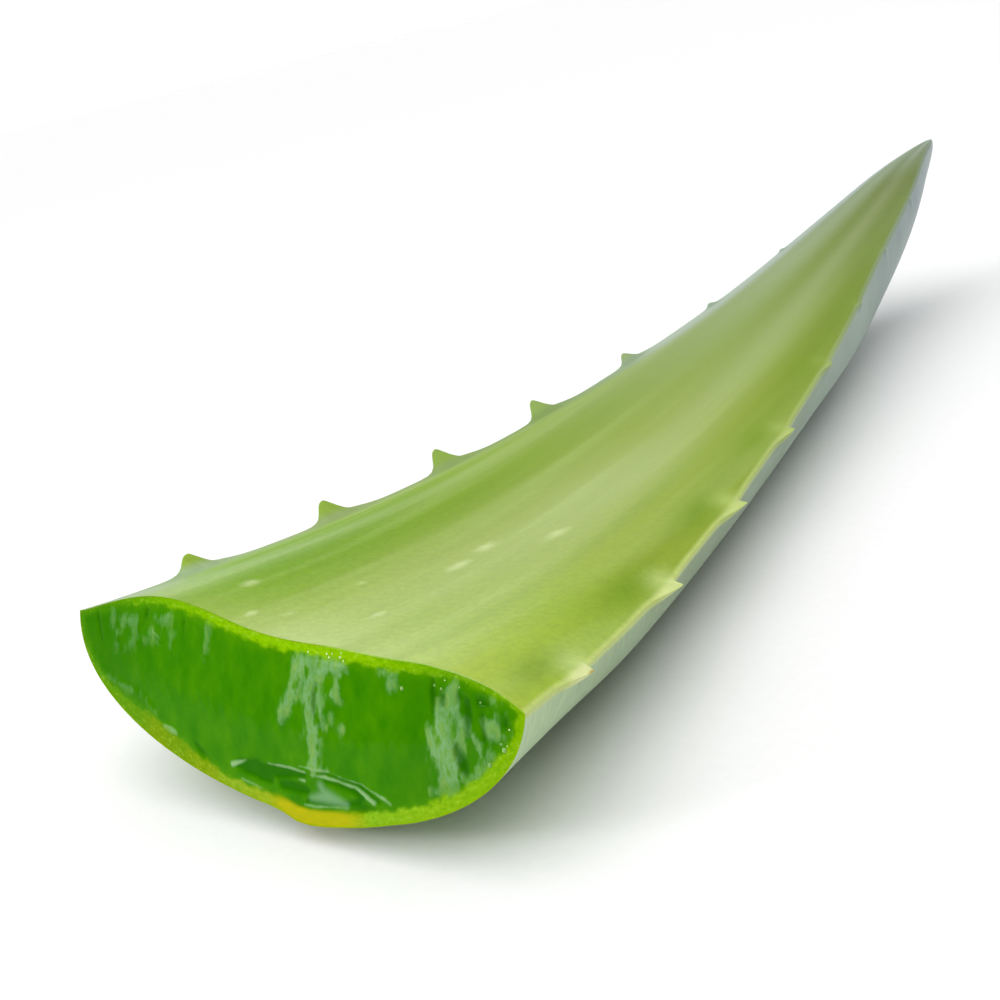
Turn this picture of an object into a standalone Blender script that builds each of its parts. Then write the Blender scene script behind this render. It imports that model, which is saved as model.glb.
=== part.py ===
"""The top length of an aloe vera leaf, cut across and lying on its round underside.

The leaf grew as one piece, so it is one solid: a loft of cross sections from the cut face to the
blunt tip, with the teeth drawn out of its two margins and the wet gel swelling out of the cut.
It is made in its growing frame, with the cut face on the plane y = 0, +X to its right margin and
+Z on its upper side. It is then turned and set down on the small flat that carries it.
"""

import math
from bisect import bisect_left

import bmesh
import bpy
from mathutils import Euler, Matrix, Vector

# Driving dimensions, in metres
HALF_WIDTH = 0.030  # half the leaf's width at the cut
REACH = 0.1790  # from the plane of the cut to the tip
TOOTH_HEIGHT = 0.0034  # of a tooth where the leaf is widest
TOOTH_NEAR_FOOT = 0.0070  # from that tooth's point to the end of its foot nearer the cut
TOOTH_FAR_FOOT = 0.0026  # the same on its steeper side, towards the tip
LEFT_TEETH = (0.0173, 0.0225)  # the first tooth's place and the pitch, along the left margin
RIGHT_TEETH = (0.0100, 0.0220)  # the same along the right margin
BARE_TIP = 0.0130  # no tooth stands nearer the tip than this
GEL_SWELL = 0.0007  # how far the gel stands out of the cut
REST_FLAT_DEPTH = 0.0003  # how much the flat takes off the underside

# Attitudes, in degrees
LEFT_TOOTH_LIFT = 22.0  # of a left tooth above the line between the margins
RIGHT_TOOTH_LIFT = 8.0  # the same for a right tooth
LAY_PITCH = -19.2  # lowers the tip until the leaf balances on its underside
LAY_ROLL = 1.8  # levels it from side to side

# Terms in rising powers of u, which is 0 at the cut and 1 at the tip
WIDTH_TERMS = (1.0, 0.180, 0.660, 0.360)  # fills out the even taper
RISE_TERMS = (0.0, 0.143, 0.291, -0.029)  # upward bend, as a share of REACH
SWAY_TERMS = (0.0, -0.084, -0.012, 0.046)  # sideways bend, as a share of REACH
TWIST_TERMS = (-0.037, 0.015, 0.787, -0.565)  # in radians, lifting the right margin
DEPTH_TERMS = (0.476, -0.420, 1.080)  # of the underside, as a share of the local half width
MIDDLE_TERMS = (0.057, -0.259, 0.202)  # height of the channel's middle, as the same share

# Other shares
TIP_ROUND = 0.03  # how blunt the tip is
CUT_BLEND = 0.12  # the u by which sections have turned from the cut's plane to square across the leaf
LEFT_LIP = (0.20, 1.2)  # height and edge sharpness of the swelling that the channel is sunk in
RIGHT_LIP = (0.14, 0.75)  # the same on the right, where the edge is blunter
LIP_FADE = 0.35  # how much of the lips' height is gone at the tip
BELLY_FULLNESS = 0.94  # under 1 makes the underside fuller than half an ellipse
BELLY_LEAN = 0.03  # how much deeper the underside is a little to the right, at the cut
TOOTH_FADE = 0.75  # how far the teeth shrink with the leaf's width
NEAR_HOLLOW = 2.2  # over 1 makes a tooth's near flank hollow
FAR_HOLLOW = 1.7  # the same for its far flank

# Mesh density
LENGTH_STEPS = 26
UNDER_STEPS = 20
UPPER_STEPS = 12
MARGIN_CROWDING = 0.3  # over 0 draws the underside's points towards the margins
TIP_CROWDING = 1.5  # over 1 draws the sections towards the tip
RUN_STEPS = 400
NEAR_STATIONS = (-0.8, -0.45, -0.2, -0.08)  # in tooth feet from the tooth's point
FAR_STATIONS = (0.25, 0.6, 1.0)
LEAST_STATION_GAP = 0.0006
CUT_RINGS = (0.93, 0.80, 0.55, 0.25)  # rings on the cut face, as shares of its outline
CUT_CENTRE = -0.15  # height of the cut's middle, in half widths

LEAF_GREEN = (0.36, 0.50, 0.14, 1.0)
WAXY_ROUGHNESS = 0.45
SHARPEST_SMOOTH = 50.0  # degrees between faces, beyond which an edge is drawn sharp


def series(terms, u):
    return sum(term * u**power for power, term in enumerate(terms))


def slope(terms, u):
    return sum(power * term * u ** (power - 1) for power, term in enumerate(terms) if power)


def half_width(u):
    """Half the leaf's width: an even taper, filled out at mid length, with a round tip."""
    taper = math.sqrt((1 - u) * (1 - u + 2 * TIP_ROUND) / (1 + 2 * TIP_ROUND))
    return HALF_WIDTH * taper * series(WIDTH_TERMS, u)


def centre(u):
    """The middle of the line between the margins."""
    return REACH * Vector((series(SWAY_TERMS, u), u, series(RISE_TERMS, u)))


def section_axes(u):
    """The section's directions to the right margin and to the upper side."""
    along = Vector((slope(SWAY_TERMS, u), 1.0, slope(RISE_TERMS, u))).normalized()
    level = along.cross(Vector((0, 0, 1))).normalized()
    blend = min(u / CUT_BLEND, 1.0)
    blend = blend * blend * (3 - 2 * blend)
    side = Vector((1, 0, 0)).lerp(level, blend).normalized()
    along = Vector((0, 1, 0)).lerp(along, blend).normalized()
    up = side.cross(along).normalized()
    turn = Matrix.Rotation(-series(TWIST_TERMS, u), 3, side.cross(up).normalized() * -1)
    return turn @ side, turn @ up


def place(u, across, height):
    """A point of the section at u, with both distances in local half widths."""
    side, up = section_axes(u)
    return centre(u) + half_width(u) * (across * side + height * up)


def upper_height(across, u):
    """Height of the upper side: a lip beside each margin, with a shallow channel between them."""
    height, sharpness = LEFT_LIP if across < 0 else RIGHT_LIP
    height *= 1 - LIP_FADE * u
    inside = max(0.0, 1 - across * across)
    return height * inside**sharpness - (height - series(MIDDLE_TERMS, u)) * inside**4


def under_height(across, u):
    """Height of the underside: nearly half an ellipse, a little deeper to the right."""
    inside = max(0.0, 1 - across * across)
    belly = series(DEPTH_TERMS, u) * inside ** (BELLY_FULLNESS / 2)
    return -belly - BELLY_LEAN * (1 - u) * inside * (0.5 + across)


def section(u):
    """The outline as (across, height): from right to left below, then back on top."""
    outline = []
    for step in range(UNDER_STEPS):
        share = step / UNDER_STEPS
        share -= MARGIN_CROWDING * math.sin(2 * math.pi * share) / (2 * math.pi)
        across = math.cos(math.pi * share)
        outline.append((across, under_height(across, u)))
    for step in range(UPPER_STEPS):
        across = -math.cos(math.pi * step / UPPER_STEPS)
        outline.append((across, upper_height(across, u)))
    return outline


def margin_runs(across):
    """Lengths along one margin from the cut, at even steps of u."""
    points = [place(step / RUN_STEPS, across, 0.0) for step in range(RUN_STEPS + 1)]
    runs = [0.0]
    for last, point in zip(points, points[1:]):
        runs.append(runs[-1] + (point - last).length)
    return runs


def u_at(run, runs):
    """The u where a margin has run this far."""
    after = max(1, min(bisect_left(runs, run), RUN_STEPS))
    part = (run - runs[after - 1]) / (runs[after] - runs[after - 1])
    return (after - 1 + part) / RUN_STEPS


def run_at(u, runs):
    """How far a margin has run at u."""
    before = min(int(u * RUN_STEPS), RUN_STEPS - 1)
    return runs[before] + (u * RUN_STEPS - before) * (runs[before + 1] - runs[before])


def teeth_along(runs, first, pitch):
    """(run, size) of each tooth on a margin, where a size of 1 is the full height."""
    teeth = []
    run = first
    while run < runs[-1] - BARE_TIP:
        size = 1 - TOOTH_FADE * (1 - half_width(u_at(run, runs)) / HALF_WIDTH)
        teeth.append((run, size))
        run += pitch
    return teeth


def tooth_rise(run, teeth):
    """How far the teeth draw the margin out at this run."""
    rise = 0.0
    for point, size in teeth:
        foot, hollow = TOOTH_FAR_FOOT, FAR_HOLLOW
        if run < point:
            foot, hollow = TOOTH_NEAR_FOOT, NEAR_HOLLOW
        rise += TOOTH_HEIGHT * size * max(0.0, 1 - abs(run - point) / (foot * size)) ** hollow
    return rise


def length_stations(margins):
    """Every u that gets a section: the teeth's points, then their flanks, then even steps between."""
    points = [u_at(run, runs) for runs, teeth in margins.values() for run, size in teeth]
    feet = [part * TOOTH_NEAR_FOOT for part in NEAR_STATIONS]
    feet += [part * TOOTH_FAR_FOOT for part in FAR_STATIONS]
    flanks = [
        u_at(run + foot * size, runs)
        for runs, teeth in margins.values()
        for run, size in teeth
        for foot in feet
    ]
    even = [1 - (1 - step / LENGTH_STEPS) ** TIP_CROWDING for step in range(LENGTH_STEPS)]
    kept = [0.0]
    for u in points + flanks + even:
        if all(abs(u - other) * REACH > LEAST_STATION_GAP for other in kept):
            kept.append(u)
    return sorted(kept)


def leaf_rings():
    """A ring of points for each station, with the margins drawn out at the teeth."""
    margins = {}
    for across, (first, pitch) in ((1, RIGHT_TEETH), (-1, LEFT_TEETH)):
        runs = margin_runs(across)
        margins[across] = (runs, teeth_along(runs, first, pitch))
    rings = []
    for u in length_stations(margins):
        ring = [place(u, across, height) for across, height in section(u)]
        side, up = section_axes(u)
        for index, across, lift in ((0, 1, RIGHT_TOOTH_LIFT), (UNDER_STEPS, -1, LEFT_TOOTH_LIFT)):
            runs, teeth = margins[across]
            lift = math.radians(lift)
            outward = across * math.cos(lift) * side + math.sin(lift) * up
            ring[index] += tooth_rise(run_at(u, runs), teeth) * outward
        rings.append(ring)
    return rings


def cut_rings(outline):
    """Rings on the cut face, from the rim inwards, with the gel swelling towards its middle."""
    middle = place(0.0, 0.0, CUT_CENTRE)
    rings = []
    for share in CUT_RINGS:
        swell = GEL_SWELL * (1 - (share / CUT_RINGS[0]) ** 2)
        rings.append([middle.lerp(point, share) - Vector((0, swell, 0)) for point in outline])
    return rings, middle - Vector((0, GEL_SWELL, 0))


def leaf_solid():
    """The closed solid in the growing frame, from the middle of the cut to the tip."""
    body = leaf_rings()
    cut, middle = cut_rings(body[0])
    bm = bmesh.new()
    rings = [[bm.verts.new(point) for point in ring] for ring in cut[::-1] + body]
    count = len(rings[0])
    for one, other in zip(rings, rings[1:]):
        for index in range(count):
            after = (index + 1) % count
            bm.faces.new((one[index], one[after], other[after], other[index]))
    for ring, end in ((rings[0], middle), (rings[-1], centre(1.0))):
        apex = bm.verts.new(end)
        for index in range(count):
            bm.faces.new((ring[index], ring[(index + 1) % count], apex))
    bmesh.ops.recalc_face_normals(bm, faces=bm.faces)
    return bm


def lay_down(bm):
    """Turns the leaf to rest, slices the flat it rests on and puts the origin under its middle."""
    turn = Euler((math.radians(LAY_PITCH), math.radians(LAY_ROLL), 0.0)).to_matrix()
    bmesh.ops.rotate(bm, cent=(0, 0, 0), matrix=turn, verts=bm.verts)
    floor = min(vert.co.z for vert in bm.verts) + REST_FLAT_DEPTH
    geometry = bm.verts[:] + bm.edges[:] + bm.faces[:]
    bmesh.ops.bisect_plane(
        bm, geom=geometry, plane_co=(0, 0, floor), plane_no=(0, 0, 1), clear_inner=True
    )
    bmesh.ops.holes_fill(bm, edges=[edge for edge in bm.edges if edge.is_boundary])
    low = [min(vert.co[axis] for vert in bm.verts) for axis in range(3)]
    high = [max(vert.co[axis] for vert in bm.verts) for axis in range(3)]
    shift = Vector((-(low[0] + high[0]) / 2, -(low[1] + high[1]) / 2, -low[2]))
    bmesh.ops.translate(bm, vec=shift, verts=bm.verts)


def leaf_material():
    material = bpy.data.materials.new("leaf_skin")
    material.use_nodes = True
    shader = material.node_tree.nodes["Principled BSDF"]
    shader.inputs["Base Color"].default_value = LEAF_GREEN
    shader.inputs["Roughness"].default_value = WAXY_ROUGHNESS
    shader.inputs["Metallic"].default_value = 0.0
    return material


def make_leaf():
    for old in list(bpy.data.objects):
        bpy.data.objects.remove(old, do_unlink=True)
    parts = bpy.data.collections.new("aloe_vera_leaf")
    bpy.context.scene.collection.children.link(parts)

    bm = leaf_solid()
    lay_down(bm)
    mesh = bpy.data.meshes.new("leaf")
    bm.to_mesh(mesh)
    bm.free()
    mesh.shade_smooth()
    mesh.set_sharp_from_angle(angle=math.radians(SHARPEST_SMOOTH))
    mesh.materials.append(leaf_material())
    parts.objects.link(bpy.data.objects.new("leaf", mesh))


make_leaf()
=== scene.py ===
"""An aloe vera leaf cut straight across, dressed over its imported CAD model.

The leaf is shaped in its growing frame, in metres: the cut face on the plane y = 0, +X to the right
margin and +Z on the upper side. It is then laid on the floor just as the CAD leaf lies.
"""
import math

import bmesh
import bpy
import numpy as np
from mathutils import Euler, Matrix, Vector
from mathutils.geometry import delaunay_2d_cdt


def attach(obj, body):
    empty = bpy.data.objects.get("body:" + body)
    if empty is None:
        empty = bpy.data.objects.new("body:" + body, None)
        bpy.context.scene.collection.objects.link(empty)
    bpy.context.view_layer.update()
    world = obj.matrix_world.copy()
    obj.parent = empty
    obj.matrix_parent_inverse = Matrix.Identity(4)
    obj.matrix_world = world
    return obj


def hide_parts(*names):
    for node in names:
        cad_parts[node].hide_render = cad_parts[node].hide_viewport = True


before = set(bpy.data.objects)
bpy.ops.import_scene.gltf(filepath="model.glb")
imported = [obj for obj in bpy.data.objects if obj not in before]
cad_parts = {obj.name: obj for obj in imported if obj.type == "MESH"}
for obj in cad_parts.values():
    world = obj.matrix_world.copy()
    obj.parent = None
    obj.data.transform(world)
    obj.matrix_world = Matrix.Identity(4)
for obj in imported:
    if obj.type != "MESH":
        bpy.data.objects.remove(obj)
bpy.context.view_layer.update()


# The leaf is one grown piece: a thick tapering blade with a soft channel along its upper side, a
# round underside and a blunt tip. Both margins are drawn out into small forward-leaning teeth.
# Its sizes are near the CAD leaf's, but the teeth are blunter and fade to the tip, which is rounder.

HALF_WIDTH = 0.030  # at the cut
REACH = 0.1790  # from the plane of the cut to the tip
BACK_WIDTH = 0.0033  # how gently a tooth rises on its side towards the cut
FRONT_WIDTHS = (0.0009, 0.0045)  # how fast it falls on its other side: the tooth, and its low skirt
SKIRT_SHARE = 0.25
TOOTH_ROOT = 0.0019  # how far a tooth's root spreads in from the margin
ROOT_NARROWS = (0.45, 1.2)  # how much narrower it is beside a tooth's point, and how soon
LEFT_TEETH = (0.0172, 0.0226)  # the first tooth's place and the pitch, along the left margin
RIGHT_TEETH = (0.0106, 0.0220)
LEFT_TOOTH_HEIGHT = 0.0044
RIGHT_TOOTH_HEIGHT = 0.0023
LEFT_TOOTH_LEAN = 0.0012  # how far a tooth's point leans forward
RIGHT_TOOTH_LEAN = 0.0006
LEAN_POWER = 1.5  # a tooth's foot leans less than its point
LEAN_RUN = 0.080  # the first teeth lean less
LEFT_TOOTH_LIFT = math.radians(22)
RIGHT_TOOTH_LIFT = math.radians(8)
FIRST_TEETH = (0.7, 0.060)  # their size, and where along the margin the teeth are full-grown
LEFT_FADE = (0.073, 0.145)  # where along the margin the teeth start to shrink, and where they stop
RIGHT_FADE = (0.020, 0.140)
TOOTH_FADE = 0.90  # how much smaller the last tooth is
BARE_TIP = 0.0300  # no tooth stands nearer the tip than this

# Terms in rising powers of u, which is 0 at the cut and 1 at the tip
WIDTH_TERMS = (1.0, 0.180, 0.660, 0.360)
RISE_TERMS = (0.0, 0.143, 0.291, -0.029)
SWAY_TERMS = (0.0, -0.084, -0.012, 0.046)
TWIST_TERMS = (-0.037, 0.015, 0.787, -0.565)
DEPTH_TERMS = (0.476, -0.420, 1.080)
MIDDLE_TERMS = (0.057, -0.259, 0.202)
TIP_ROUND = 0.036
WAIST = (0.73, 0.10, 0.055)  # where the blade is narrower, over what length and how much
TIP_HOOK = (0.0010, 0.0004, -0.0006)  # how far the last of the tip nods to the right and down
HOOK_START = 0.92
CUT_BLEND = 0.12  # over this length the sections turn from the plane of the cut to the leaf's bend
LEFT_LIP = (0.20, 1.2)  # height and edge sharpness, in local half widths
RIGHT_LIP = (0.14, 0.75)
LIP_FADE = 0.35
BELLY_FULLNESS = 0.94
BELLY_LEAN = 0.03
# Where the belly is flatter or fuller than that: along u, how far and how much
BELLY_SWELLS = ((0.07, 0.05, -0.040), (0.70, 0.15, 0.18))
# Low waves across the upper side: where, how wide and how high, in local half widths
TOP_WAVES = ((-0.42, 0.33, 0.018), (0.48, 0.16, -0.014), (0.86, 0.10, 0.006))
WAVE_EDGE = 0.2  # they die out in this part of the section beside each margin
WAVE_END = 0.35  # and along the leaf by this u

UNDER_STEPS = 70
UPPER_STEPS = 60
LENGTH_STEPS = 170
RUN_STEPS = 800
TIP_CROWDING = 1.3  # the sections stand closer together towards the tip
MARGIN_CROWDING = 0.4  # and the points of the underside towards the margins
# Where a tooth is cut into sections, in millimetres along the margin from its point
TOOTH_STATIONS = (-6, -4.8, -3.8, -3, -2.4, -1.8, -1.4, -1, -0.7, -0.45, -0.25, -0.1, 0,
                  0.12, 0.3, 0.5, 0.75, 1.05, 1.4, 1.8, 2.2, 2.6)
LEAST_STATION_GAP = 0.00011


def series(terms, u):
    return sum(term * u**power for power, term in enumerate(terms))


def slope(terms, u):
    return sum(power * term * u ** (power - 1) for power, term in enumerate(terms) if power)


def unit(vectors):
    return vectors / np.linalg.norm(vectors, axis=-1, keepdims=True)


def smooth(x):
    x = np.clip(x, 0, 1)
    return x * x * (3 - 2 * x)


def half_width(u):
    taper = np.sqrt((1 - u) * (1 - u + 2 * TIP_ROUND) / (1 + 2 * TIP_ROUND))
    at, reach, share = WAIST
    taper = taper * (1 - share * np.exp(-(((u - at) / reach) ** 2)))
    return HALF_WIDTH * taper * series(WIDTH_TERMS, u)


def centre(u):
    line = REACH * np.stack([series(SWAY_TERMS, u), u, series(RISE_TERMS, u)], -1)
    hook = np.clip((u - HOOK_START) / (1 - HOOK_START), 0, 1) ** 2
    return line + np.array(TIP_HOOK) * hook[..., None]


def section_axes(u):
    """Each section's directions to the right margin and to the upper side."""
    along = unit(np.stack([slope(SWAY_TERMS, u), np.ones_like(u), slope(RISE_TERMS, u)], -1))
    level = unit(np.cross(along, (0, 0, 1)))
    blend = smooth(u / CUT_BLEND)[..., None]
    side = unit((1 - blend) * np.array((1.0, 0, 0)) + blend * level)
    along = unit((1 - blend) * np.array((0, 1.0, 0)) + blend * along)
    up = unit(np.cross(side, along))
    twist = series(TWIST_TERMS, u)[..., None]
    return np.cos(twist) * side + np.sin(twist) * up, np.cos(twist) * up - np.sin(twist) * side


def upper_height(across, u):
    left = across < 0
    height = np.where(left, LEFT_LIP[0], RIGHT_LIP[0]) * (1 - LIP_FADE * u)
    inside = np.clip(1 - across**2, 0, 1)
    lips = height * inside ** np.where(left, LEFT_LIP[1], RIGHT_LIP[1])
    waves = sum(rise * np.exp(-(((across - at) / wide) ** 2)) for at, wide, rise in TOP_WAVES)
    waves = waves * smooth(inside / WAVE_EDGE) * (1 - smooth(u / WAVE_END))
    return lips - (height - series(MIDDLE_TERMS, u)) * inside**4 + waves


def under_height(across, u):
    inside = np.clip(1 - across**2, 0, 1)
    depth = series(DEPTH_TERMS, u)
    depth = depth + sum(deep * np.exp(-(((u - at) / reach) ** 2)) for at, reach, deep in BELLY_SWELLS)
    belly = depth * inside ** (BELLY_FULLNESS / 2)
    return -belly - BELLY_LEAN * (1 - u) * inside * (0.5 + across)


class Margin:
    """One toothed margin: across is 1 for the right one and -1 for the left one."""

    def __init__(self, across, teeth, height, lift, lean, fade):
        self.across, self.height, self.lift, self.lean = across, height, lift, lean
        self.u = np.linspace(0, 1, RUN_STEPS + 1)
        side, up = section_axes(self.u)
        line = centre(self.u) + across * half_width(self.u)[:, None] * side
        steps = np.linalg.norm(np.diff(line, axis=0), axis=1)
        self.run = np.concatenate([[0], np.cumsum(steps)])
        first, pitch = teeth
        self.points = np.arange(first, self.run[-1] - BARE_TIP, pitch)
        self.sizes = 1 - TOOTH_FADE * smooth((self.points - fade[0]) / (fade[1] - fade[0]))
        self.sizes *= FIRST_TEETH[0] + (1 - FIRST_TEETH[0]) * smooth(self.points / FIRST_TEETH[1])
        self.widths = np.sqrt(self.sizes)

    def stations(self):
        offsets = np.outer(self.widths, np.array(TOOTH_STATIONS) / 1000)
        return np.interp((self.points[:, None] + offsets).ravel(), self.run, self.u)

    def rise(self, u):
        """How far the teeth draw the margin out, as a share of a full tooth's height."""
        run = np.interp(u, self.u, self.run)
        total = np.zeros_like(u)
        for point, size, width in zip(self.points, self.sizes, self.widths):
            gap = (run - point) / width
            back = np.exp(-((gap / BACK_WIDTH) ** 2))
            front, skirt = (np.exp(-((gap / reach) ** 2)) for reach in FRONT_WIDTHS)
            front = (1 - SKIRT_SHARE) * front + SKIRT_SHARE * skirt
            total += size * np.where(gap < 0, back, front)
        return total

    def beside(self, u, offset, reach):
        """A soft bump along the margin at the same offset from every tooth's point."""
        run = np.interp(u, self.u, self.run)
        gaps = (run[..., None] - self.points - offset * self.widths) / (reach * self.widths)
        return (self.sizes * np.exp(-(gaps**2))).sum(-1)


right_margin = Margin(
    1, RIGHT_TEETH, RIGHT_TOOTH_HEIGHT, RIGHT_TOOTH_LIFT, RIGHT_TOOTH_LEAN, RIGHT_FADE)
left_margin = Margin(
    -1, LEFT_TEETH, LEFT_TOOTH_HEIGHT, LEFT_TOOTH_LIFT, LEFT_TOOTH_LEAN, LEFT_FADE)

even = 1 - (1 - np.arange(LENGTH_STEPS) / LENGTH_STEPS) ** TIP_CROWDING
kept = [0.0]
for u in sorted([*right_margin.stations(), *left_margin.stations(), *even]):
    if (u - kept[-1]) * REACH > LEAST_STATION_GAP:
        kept.append(u)
along_u = np.array(kept)[:, None]

# One ring runs from the right margin below to the left margin, then back on top
turn = np.linspace(0, 1, UNDER_STEPS + 1)[:-1]
turn = turn - MARGIN_CROWDING * np.sin(2 * np.pi * turn) / (2 * np.pi)
upper_turn = np.linspace(0, 1, UPPER_STEPS + 1)[:-1]
ring_across = np.concatenate([np.cos(np.pi * turn), -np.cos(np.pi * upper_turn)])[None, :]
on_top = np.concatenate([np.zeros(UNDER_STEPS), np.ones(UPPER_STEPS)])[None, :]
heights = np.where(on_top, upper_height(ring_across, along_u), under_height(ring_across, along_u))

side, up = section_axes(along_u[:, 0])
forward = np.cross(up, side)
width = half_width(along_u)[..., None]
skin = centre(along_u[:, 0])[:, None] + width * (
    ring_across[..., None] * side[:, None] + heights[..., None] * up[:, None]
)

# Each tooth pulls the margin out, and the skin beside it less and less
steps = np.linalg.norm(np.diff(skin, axis=1, append=skin[:, :1]), axis=2)
around = np.cumsum(steps, axis=1) - steps
total = steps.sum(axis=1, keepdims=True)
margin_gap = {}
tooth_share = np.zeros(skin.shape[:2])
for margin, index in ((right_margin, 0), (left_margin, UNDER_STEPS)):
    away = abs(around - around[:, index : index + 1])
    away = np.minimum(away, total - away)
    margin_gap[margin.across] = away
    rise = margin.rise(along_u)
    root = TOOTH_ROOT * (1 - ROOT_NARROWS[0] * smooth(rise * ROOT_NARROWS[1]))
    pull = rise * smooth(1 - away / root)
    outward = margin.across * math.cos(margin.lift) * side + math.sin(margin.lift) * up
    lean = margin.lean * smooth(np.interp(along_u, margin.u, margin.run) / LEAN_RUN)
    skin = skin + margin.height * pull[..., None] * outward[:, None]
    skin = skin + (lean * pull**LEAN_POWER)[..., None] * forward[:, None]
    tooth_share = np.maximum(tooth_share, pull)

# Latex from the rind has gathered under the cut and hangs there as one low drip
DRIP_DEPTH = 0.0009
DRIP_BACK = 0.0026  # how far it has crept back from the cut
DRIP_LOW = (0.30, 0.12)  # how far down the section it starts and over what height, in half widths
# Its depth from left to right, as x and a share
DRIP_PROFILE = ((-0.0060, 0), (0.0004, 0.08), (0.0026, 0.60), (0.0036, 1.0), (0.0060, 0.85),
                (0.0090, 0.50), (0.0150, 0))
beneath = smooth((-skin[..., 2] / HALF_WIDTH - DRIP_LOW[0]) / DRIP_LOW[1])
drip = np.interp(skin[..., 0], *zip(*DRIP_PROFILE)) * beneath
drip = drip * smooth(1 - skin[..., 1] / DRIP_BACK) * (skin[..., 1] < DRIP_BACK)
skin[..., 2] -= DRIP_DEPTH * drip

# The cut face spans the first ring. Its gel swells a little, and wet gel has run down it in smears.
# From here on, its places and sizes are in millimetres.
CUT_GRID = 0.30
POOL_GRID = 0.14
RIM_CLEAR = 0.15  # no inner point lies nearer the rim than this
POOL_MIDDLE = np.array((4.8, -11.6))
POOL_REACH = np.array((11.6, 2.3))
ROW_SHARE = 0.87  # how far apart staggered rows stand, as a share of the pitch in them
OUTSIDE = -3.0  # the depth given to a point that is well clear of every stroke
TINY = 1e-12
MERGE_GAP = 1e-6
rim = skin[0][:, [0, 2]] * 1000
closed_rim = np.vstack([rim, rim[:1]])


def gap_to(points, line):
    """Distance from each point to a polyline, and how many of the line's points it has passed."""
    start, step = line[:-1], np.diff(line, axis=0)
    from_start = points[:, None] - start[None]
    part = np.clip((from_start * step).sum(-1) / (step**2).sum(-1), 0, 1)
    gaps = np.linalg.norm(from_start - part[..., None] * step, axis=-1)
    nearest = gaps.argmin(axis=1)
    rows = np.arange(len(points))
    return gaps[rows, nearest], nearest + part[rows, nearest]


def scatter(pitch, low, high):
    """Points in staggered rows, a pitch apart."""
    x, z = np.meshgrid(np.arange(low[0], high[0], pitch), np.arange(low[1], high[1], pitch * ROW_SHARE))
    x = x + pitch / 2 * (np.arange(len(x)) % 2)[:, None]
    return np.stack([x.ravel(), z.ravel()], -1)


def inside_rim(points):
    ahead = np.roll(rim, -1, axis=0)
    x, z = points[:, :1], points[:, 1:]
    spans = (rim[:, 1] > z) != (ahead[:, 1] > z)
    share = (z - rim[:, 1]) / (ahead[:, 1] - rim[:, 1] + TINY)
    return (spans & (x < rim[:, 0] + share * (ahead[:, 0] - rim[:, 0]))).sum(axis=1) % 2 == 1


def pool_radius(points):
    """0 in the middle of the pool of gel and 1 round it, where the finer grid ends."""
    return np.linalg.norm((points - POOL_MIDDLE) / POOL_REACH, axis=1)


coarse = scatter(CUT_GRID, rim.min(axis=0), rim.max(axis=0))
fine = scatter(POOL_GRID, POOL_MIDDLE - POOL_REACH, POOL_MIDDLE + POOL_REACH)
inner = np.vstack([coarse[pool_radius(coarse) > 1], fine[pool_radius(fine) <= 1]])
inner = inner[inside_rim(inner)]
rim_gap, rim_at = gap_to(inner, closed_rim)
clear = rim_gap > RIM_CLEAR
inner, rim_gap, rim_at = inner[clear], rim_gap[clear], rim_at[clear]
x, z = inner.T


def field(strokes):
    """How deep each point lies inside the nearest stroke, and how far down that stroke it is."""
    depth, down = np.full(len(inner), OUTSIDE), np.zeros(len(inner))
    for stroke in strokes:
        stroke = np.array(stroke)
        away, passed = gap_to(inner, stroke[:, :2])
        inside = np.interp(passed, np.arange(len(stroke)), stroke[:, 2]) - away
        down = np.where(inside > depth, passed / (len(stroke) - 1), down)
        depth = np.maximum(depth, inside)
    return depth, down


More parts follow.
